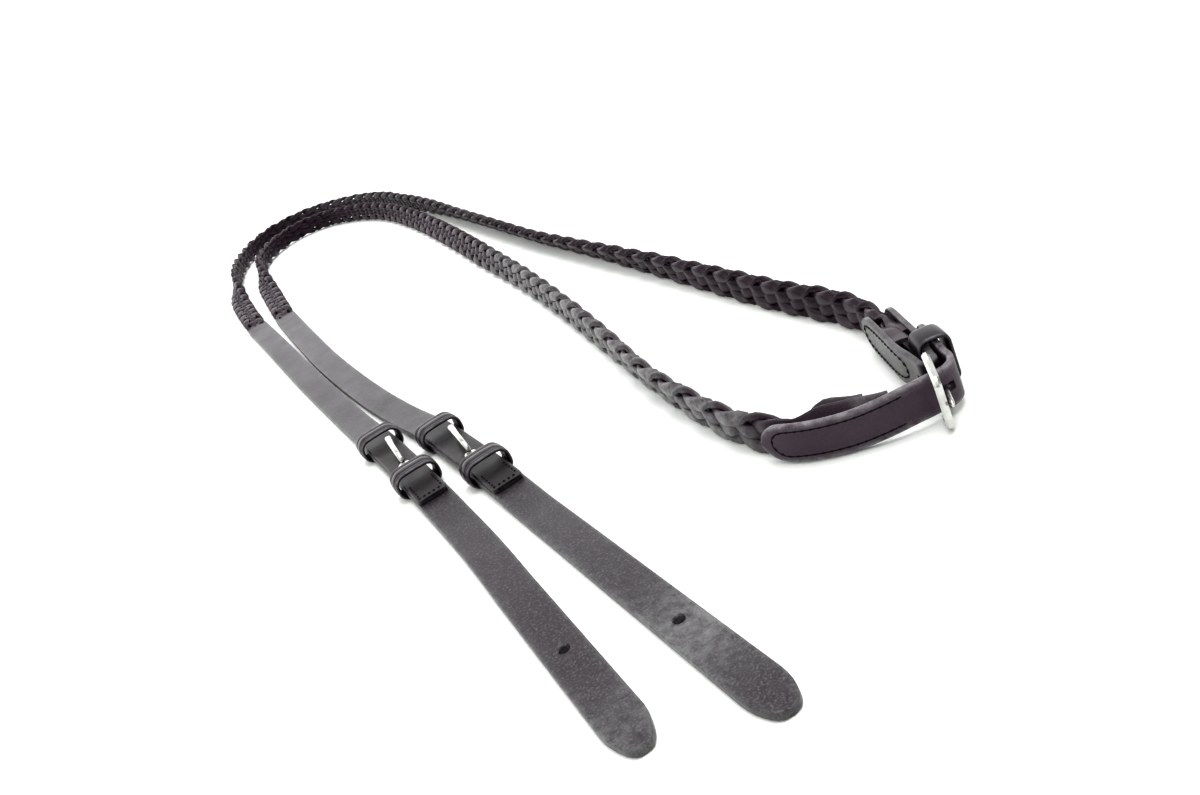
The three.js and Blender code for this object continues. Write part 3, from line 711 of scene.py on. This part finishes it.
def creased(width, wall, crease=0.22, crown=0.3):
    """A keeper's section: across its width and out, with two creases along each edge."""
    w, t = width / 2, wall / 2
    outer = [(-w, 0), (-w + 0.12, t * 0.62), (-w + 0.45, t), (-w + 0.95, t + 0.06),
             (-w + 1.3, t - crease), (-w + 1.65, t + 0.04), (-w + 2.1, t + 0.05),
             (-w + 2.45, t - crease * 0.8), (-w + 2.85, t + 0.05), (-w / 3, t + crown * 0.8),
             (0, t + crown)]
    outer += [(-x, y) for x, y in outer[-2::-1]]
    inner = [(w - 0.12, -t * 0.62), (w - 0.5, -t), (w / 3, -t), (-w / 3, -t), (-w + 0.5, -t),
             (-w + 0.12, -t * 0.62)]
    points = np.array(outer + inner)
    near = np.abs(points[:, 0]) > w - 1.0
    return points, np.where(near & (points[:, 1] > 0), 1.0, 0.0)


def box_path(left, bottom, right, top, r, per=6, along=5):
    """A closed rounded box as points and outward directions, counter-clockwise."""
    points, outs = [], []
    for cx, cy, start in ((right - r, bottom + r, -90), (right - r, top - r, 0),
                          (left + r, top - r, 90), (left + r, bottom + r, 180)):
        for k in range(per + 1):
            a = math.radians(start + 90 * k / per)
            points.append((cx + r * math.cos(a), cy + r * math.sin(a)))
            outs.append((math.cos(a), math.sin(a)))
    made, out = [], []
    n = len(points)
    for i in range(n):
        made.append(points[i])
        out.append(outs[i])
        if i % (per + 1) == per:
            b = points[(i + 1) % n]
            for k in range(1, along):
                f = k / along
                made.append((points[i][0] * (1 - f) + b[0] * f, points[i][1] * (1 - f) + b[1] * f))
                out.append(outs[i])
    return np.array(made), np.array(out)


def keeper_ring(build, path, outs, section, wear, place):
    """Sweeps a keeper's section round a path in its own plane. place puts it on the reins."""
    rings = []
    for (x, z), (ox, oz) in zip(path, outs):
        flat = np.column_stack([x + ox * section[:, 1], section[:, 0], z + oz * section[:, 1]])
        rings.append(place(flat))
    build.loft(np.array(rings), wear, closed=True)


def make_keeper(side, half, which, offset):
    """A creased leather loop round the strap, at an offset from the hook."""
    strap = Route(half["strap"])
    y = half["hook"] + offset
    x = strap_x(strap, y)
    slope = math.atan2(strap_x(strap, y + 10) - strap_x(strap, y - 10), 20)
    w = STRAP_WIDTH / 2 + KEEPER_SIDE + KEEPER_WALL / 2
    path, outs = box_path(-w, KEEPER_WALL / 2, w, KEEPER_TOP - KEEPER_WALL / 2, 2.6, along=8)
    low = np.clip((path[:, 1] - 0.6) / (KEEPER_TOP - 1.2), 0, 1)
    puff = np.sin(math.pi * low) ** 0.8 * np.abs(outs[:, 0]) * 0.8
    arch = 0.35 * (1 - (path[:, 0] / w) ** 2) * (outs[:, 1] > 0.5)
    path = path + np.column_stack([np.sign(path[:, 0]) * puff, arch])
    section, wear = creased(KEEPER_WIDTH, KEEPER_WALL, crown=0.16)

    def place(p):
        c, s = math.cos(-slope), math.sin(-slope)
        return np.column_stack([x + p[:, 0] * c - p[:, 1] * s, y + p[:, 0] * s + p[:, 1] * c,
                                np.maximum(p[:, 2], 0.0)])

    build = Build()
    keeper_ring(build, path, outs, section, wear, place)
    settle(build.done(f"{side}_{which}_keeper_leather", KEEPER), "reins", "keeper_leather",
           f"{side}_{which}_keeper")


# ------------------------------------------------------------------ hook studs

def swept(build, points, sizes, ring=14):
    """A rounded bar through 3-D points. sizes are its width and height at each point."""
    route = Route(points, per=8)
    s = np.linspace(0, route.length, 40)
    keys = np.array([np.argmin(np.linalg.norm(route.p - np.array(p), axis=1)) for p in points])
    at = route.s[keys]
    wide = np.interp(s, at, [v[0] for v in sizes]) / 2
    tall = np.interp(s, at, [v[1] for v in sizes]) / 2
    ahead, centre = route.ahead(s, 0.3), route.at(s)
    side = np.array([1.0, 0, 0])
    a = np.linspace(0, 2 * math.pi, ring, endpoint=False)
    rings = []
    for i in range(len(s)):
        w = side - ahead[i] * (side @ ahead[i])
        w /= np.linalg.norm(w)
        n = np.cross(ahead[i], w)
        end = min(1.0, 0.35 + 8.8 * min(i, len(s) - 1 - i) / len(s))  # rounded off at both ends
        c, z = np.cos(a), np.sin(a)
        rings.append(centre[i] + w * (wide[i] * end * np.sign(c) * np.abs(c) ** 0.8)[:, None]
                     + n * (tall[i] * end * np.sign(z) * np.abs(z) ** 0.8)[:, None])
    build.loft(rings)


def make_hook_stud(side, half):
    """A hook of flattened wire: it comes up out of the stay and points away from the bit."""
    x, hook = strap_x(Route(half["strap"]), half["hook"]), half["hook"]
    base, top = STAY_TOP + 0.02, STAY_TOP + 4.05
    foot = hook - 11
    points = [(x, foot, base), (x, foot, base + 1.6), (x, hook - 9.6, top - 0.9),
              (x + 0.1, hook - 7, top), (x + 0.8, hook + 1, top + 0.3),
              (x + 1.6, hook + 8, top + 0.2), (x + 2.2, hook + 13, top - 0.3)]
    sizes = [(2.4, 2.0), (2.0, 2.0), (2.0, 2.0), (2.0, 1.9), (2.2, 1.8), (2.5, 1.6), (2.7, 1.4)]
    build = Build()
    swept(build, points, sizes)
    a = np.linspace(0, 2 * math.pi, 24, endpoint=False)
    rings = [np.column_stack([x + r * np.cos(a), foot + r * np.sin(a), np.full(24, z)])
             for z, r in ((base + 0.0, 2.2), (base + 0.25, 2.25), (base + 0.4, 2.0),
                          (base + 0.46, 1.2))]
    build.loft(rings)
    settle(build.done(f"{side}_hook_stud_bar", STEEL), "reins", "steel", f"{side}_hook_stud")


for side, half in HALVES.items():
    make_strap(side, half)
    make_stay(side, half)
    make_keeper(side, half, "upper", KEEPER_UPPER)
    make_keeper(side, half, "lower", -KEEPER_LOWER)
    make_hook_stud(side, half)

# ------------------------------------------------------------------ hand end

def heel_place(angle):
    """A function that moves points from a frame at the heel bar, its +X at the angle."""
    c, s = math.cos(angle), math.sin(angle)

    def place(p):
        p = np.asarray(p, float)
        return np.stack([HEEL[0] + p[..., 0] * c - p[..., 1] * s,
                         HEEL[1] + p[..., 0] * s + p[..., 1] * c, p[..., 2]], -1)
    return place


along_chape, along_frame = heel_place(CHAPE_ANGLE), heel_place(FRAME_ANGLE)


def end_share(distance, radius, blunt=0.12):
    """Half-width share of a rounded end, at a distance from it."""
    d = 1 - np.clip(distance, 0, radius) / radius
    return np.maximum(blunt, np.sqrt(np.maximum(1 - d * d, 0)))


def standing_band(name, route, s, width, thick, middle, share, material, bevel=0.5, place=None):
    """A strap that stands on its edge along a plan route."""
    section, wear = strap_section(width, thick, bevel)
    centre = route.at(s) + UP * np.asarray(middle)[:, None]
    w, n = plan_frame(route, s, np.full(len(s), math.pi / 2))
    rings = [centre[i] + w[i] * narrowed(section, width, share[i])[:, None]
             + n[i] * section[:, 1][:, None] for i in range(len(s))]
    rings = np.array(rings)
    build = Build()
    build.loft(rings if place is None else place(rings), wear)
    return build.done(name, material)


def close_at_ends(length, steps, reach=9.0):
    """Stations along a band, close together at both ends."""
    end = reach * (1 - np.cos(np.linspace(0, math.pi / 2, 14)))
    body = np.linspace(reach, length - reach, steps)[1:-1]
    return np.concatenate([end, body, (length - end)[::-1]])


def make_chape():
    """The leather folded round the heel bar, its slot for the tongue, and its two seams."""
    spread, r = 3.9, 2.28
    leg = [(46, spread), (34, spread), (24, spread), (17, spread), (12, 3.55), (8, 2.95),
           (4, 2.45), (1.5, r)]
    turn = [(r * math.cos(math.radians(180 - a)), r * math.sin(math.radians(180 - a)))
            for a in (60, 30, 0, -30, -60)]
    route = Route([*leg, *turn, *[(x, -y) for x, y in reversed(leg)]])
    s = close_at_ends(route.length, 90)
    share = end_share(np.minimum(s, route.length - s), 9)
    piece = standing_band("chape_leather", route, s, HAND_WIDTH, 1.9,
                          np.full(len(s), HAND_MIDDLE), share, KEEPER, 0.55, along_chape)
    cutter = Build()
    box = [(-5, -3, -1.6), (1.6, -3, -1.6), (1.6, 3, -1.6), (-5, 3, -1.6)]
    lower = along_chape(np.array([(x, y * 2, HAND_MIDDLE + z) for x, y, z in box]))
    cutter.loft([lower, lower + UP * 3.2])
    cut_with(piece, cutter.done("cutter", KEEPER))
    settle(piece, "reins", "keeper_leather", "chape")
    stitches = Build()
    lx, ly = np.array(sorted(leg)).T
    for face in (1, -1):
        seam = []
        for k in range(181):
            a = 2 * math.pi * k / 180
            c, sn = math.cos(a), math.sin(a)
            x = 25.7 + 17.3 * math.copysign(abs(c) ** 0.75, c)
            seam.append((x, face * (np.interp(x, lx, ly) + 1.0),
                         HAND_MIDDLE + 4.35 * math.copysign(abs(sn) ** 0.6, sn)))
        stitch_along(stitches, along_chape(np.array(seam)),
                     along_chape(np.array([[0.0, face, 0.0]]))[0] - along_chape(np.zeros(3)))
    settle(stitches.done("chape_stitches", THREAD), "reins", "thread", "chape_thread")


def stitch_along(build, line, out, pitch=2.5, gap=0.35, size=0.3):
    """Stitches along a polyline on a face that looks out, over a thin dark strip that is painted
    shade for a pressed channel.
    """
    step = np.concatenate([[0], np.cumsum(np.linalg.norm(np.diff(line, axis=0), axis=1))])
    outs = np.broadcast_to(out, line.shape)
    along = np.gradient(line, axis=0)
    across = np.cross(along, outs)
    across /= np.linalg.norm(across, axis=1, keepdims=True)
    # a thin thread-dark strip along the seam: painted shade standing in for the pressed groove
    groove_shade = [line + across * a + outs * b
               for a, b in ((-0.22, -0.2), (-0.22, 0.03), (0, 0.05), (0.22, 0.03), (0.22, -0.2))]
    build.loft(np.stack(groove_shade, axis=1))

    def at(d, data):
        return np.array([np.interp(d, step, data[:, k]) for k in range(3)])

    for d in np.arange(0.2, step[-1] - pitch + gap, pitch):
        o = at(d + pitch / 2, outs)
        add_stitch(build, at(d, line), at(d + pitch - gap, line), o / np.linalg.norm(o), size)


def make_centre_keeper():
    """A smooth, arched leather sleeve round the chape's outer leg and the hand strap's end."""
    low, high, inner, outer, wall = 0.75, 16.25, -0.1, 9.9, 1.2
    h = wall / 2
    path, outs = box_path(inner + h, low + h, outer - h, high - h, 1.9, along=8)
    middle = (inner + outer) / 2
    share = np.clip((path[:, 0] - middle) / (outer - middle), -1, 1)
    path[:, 1] += 0.7 * (1 - share ** 2) * (outs[:, 1] > 0.5)
    w = 4.6
    points = [(-w, 0), (-w + 0.1, h * 0.6), (-w + 0.4, h), (-w + 1.2, h + 0.1), (0, h + 0.22)]
    points += [(-x, y) for x, y in points[-2::-1]]
    points += [(w - 0.12, -h * 0.6), (w - 0.5, -h), (0, -h), (-w + 0.5, -h), (-w + 0.12, -h * 0.6)]
    section = np.array(points)
    wear = np.where((np.abs(section[:, 0]) > w - 1) & (section[:, 1] > 0), 1.0, 0.0)
    build = Build()
    # the keeper's own x runs to the outside of the loop, and its width runs along the chape
    keeper_ring(build, path, outs, section, wear,
                lambda p: along_chape(np.column_stack([10 + p[:, 1], -p[:, 0], p[:, 2]])))
    settle(build.done("centre_keeper_leather", KEEPER), "reins", "keeper_leather",
           "centre_keeper")


def hand_middle(t):
    """Height of the hand strap's middle, which rises to the buckle, at shares t of its length."""
    return HAND_RISE_HEIGHT + (HAND_MIDDLE - HAND_RISE_HEIGHT) * smooth(
        HAND_RISE_FROM, HAND_RISE_TO, t)


def make_hand_strap():
    """The strap sewn on the right plait, its slot for the tongue, and its open-ended seam."""
    route = Route(HAND_ROUTE)
    length, trimmed = route.length, 2.2
    s = trimmed + close_at_ends(length - trimmed, 110, 8)
    share = np.minimum(end_share(s - trimmed, 8), end_share(length - s, 5, 0.3))
    piece = standing_band("hand_strap_leather", route, s, HAND_WIDTH, HAND_THICK,
                          hand_middle(s / length), share, HAND, 0.6)
    cutter = Build()
    near, far, inner, outer, height = 4.6, 12.6, 0.8, 5.0, 2.7
    low = HAND_MIDDLE - height / 2
    lower = along_frame([(near, inner, low), (far, inner, low), (far, outer, low),
                         (near, outer, low)])
    cutter.loft([lower, lower + UP * height])
    cut_with(piece, cutter.done("cutter", HAND))
    settle(piece, "reins", "strap_leather", "hand_strap")
    stitches = Build()
    near, far, rise = 6.0, 45.0, HAND_WIDTH / 2 - 2.1
    path = [(d, rise) for d in np.arange(far, near + 5, -1.0)]
    path += [(near + 5 - 5 * math.cos(math.radians(a)), rise * math.sin(math.radians(a)))
             for a in np.arange(90, -91, -10)]
    path += [(d, -rise) for d in np.arange(near + 6, far, 1.0)]
    d, a = np.array(path).T
    w, n = plan_frame(route, d, np.full(len(d), math.pi / 2))
    line = (route.at(d) + UP * hand_middle(d / length)[:, None] + w * a[:, None]
            + n * HAND_THICK / 2)
    stitch_along(stitches, line, n)
    settle(stitches.done("hand_strap_stitches", THREAD), "reins", "thread", "hand_strap_thread")


def make_buckle_frame():
    """A flat square frame, whose heel bar is one of its sides."""
    wire, depth, length, height = 2.3, 2.3, 17.2, 17.2
    h = wire / 2
    path, outs = box_path(0, h, length, height - h, 1.9, per=8, along=6)
    # a flat frame with a bevel on both of its outer edges
    section = np.array([(-0.95, -0.5), (-0.62, -0.9), (0.45, -0.9), (0.95, -0.35), (0.95, 0.35),
                        (0.45, 0.9), (-0.62, 0.9), (-0.95, 0.5)]) * wire / 1.9
    rings = []
    for (x, z), (ox, oz) in zip(path, outs):
        rings.append(along_frame(np.column_stack(
            [x + ox * section[:, 0], section[:, 1] * depth / wire, z + oz * section[:, 0]])))
    build = Build()
    build.loft(np.array(rings), closed=True)
    piece = build.done("buckle_frame_bar", STEEL, 30)
    settle(piece, "buckle_frame", "steel", "buckle_frame")


def make_tongue():
    """A flat-sided tongue whose eye goes round the heel bar."""
    z = HAND_MIDDLE
    build = Build()
    points = [(1.2, 2.05), (5, 2.1), (10, 2.1), (15, 2.1), (18.6, 2.15)]
    route = Route([(x, y, z) for x, y in points], per=8)
    s = np.linspace(0, route.length, 30)
    tall = np.interp(s / route.length, [0, 0.6, 0.9, 1], [0.95, 0.9, 0.75, 0.4])
    thin = np.interp(s / route.length, [0, 0.9, 1], [0.8, 0.75, 0.35])
    a = np.linspace(0, 2 * math.pi, 14, endpoint=False)
    c, k = np.cos(a), np.sin(a)
    rings = [np.column_stack([
        np.full(14, p[0]),
        p[1] + thin[i] * np.sign(c) * np.abs(c) ** 0.7,
        p[2] + tall[i] * np.sign(k) * np.abs(k) ** 0.7]) for i, p in enumerate(route.at(s))]
    build.loft(along_frame(np.array(rings)))
    eye = []
    for angle in np.linspace(0, 2 * math.pi, 36, endpoint=False):
        ca, sa = math.cos(angle), math.sin(angle)
        eye.append(np.column_stack([(2.02 + 0.56 * c) * ca, (2.02 + 0.56 * c) * sa, z + 0.93 * k]))
    build.loft(along_frame(np.array(eye)), closed=True)
    settle(build.done("buckle_tongue_bar", STEEL), "buckle_tongue", "steel", "buckle_tongue")


make_chape()
make_centre_keeper()
make_hand_strap()
make_buckle_frame()
make_tongue()

# ------------------------------------------------------------------ floor and light

def make_floor():
    """A wide white table, a hair below the reins."""
    mesh = bpy.data.meshes.new("floor")
    mesh.from_pydata([(-60, -60, 0), (60, -60, 0), (60, 60, 0), (-60, 60, 0)], [], [(0, 1, 2, 3)])
    floor = bpy.data.objects.new("floor", mesh)
    bpy.context.scene.collection.objects.link(floor)
    floor.location.z = -0.0002
    material = bpy.data.materials.new("floor")
    material.use_nodes = True
    shader = material.node_tree.nodes["Principled BSDF"]
    shader.inputs["Base Color"].default_value = (0.915, 0.935, 0.905, 1)
    shader.inputs["Roughness"].default_value = 0.9
    shader.inputs["Specular IOR Level"].default_value = 0.1
    mesh.materials.append(material)


def make_sun(name, towards, strength, spread):
    """A wide soft sun that shines from the direction towards."""
    data = bpy.data.lights.new(name, "SUN")
    data.energy, data.angle = strength, math.radians(spread)
    light = bpy.data.objects.new(name, data)
    bpy.context.scene.collection.objects.link(light)
    light.rotation_mode = "QUATERNION"
    light.rotation_quaternion = Vector(towards).to_track_quat("Z", "Y")


def make_world():
    """A bright low backdrop behind the reins, and a dimmer room in front and overhead."""
    world = bpy.data.worlds.new("world")
    world.use_nodes = True
    tree = world.node_tree
    place = node(tree, "ShaderNodeTexCoord").outputs["Generated"]
    split = node(tree, "ShaderNodeSeparateXYZ")
    tree.links.new(place, split.inputs[0])
    behind = ramp(tree, split.outputs["Y"], [(0.0, 0.06), (0.3, 0.22), (0.8, 1.0)])
    low = ramp(tree, split.outputs["Z"], [(0.0, 1.0), (0.3, 1.0), (0.55, 0.4), (0.9, 0.3)])
    shade = mix(tree, "MULTIPLY", 1.0, behind, low)
    shade = mix(tree, "ADD", 1.0, shade, (0.12, 0.12, 0.122))
    background = tree.nodes["Background"]
    tree.links.new(shade, background.inputs["Color"])
    background.inputs["Strength"].default_value = 2.0
    bpy.context.scene.world = world


make_floor()
make_world()
make_sun("key", (0.35, 0.1, 1.0), 2.3, 50)
make_sun("soft", (-0.5, -0.1, 1.0), 1.5, 100)
bpy.context.scene.view_settings.view_transform = "Standard"
bpy.context.scene.view_settings.look = "Medium High Contrast"
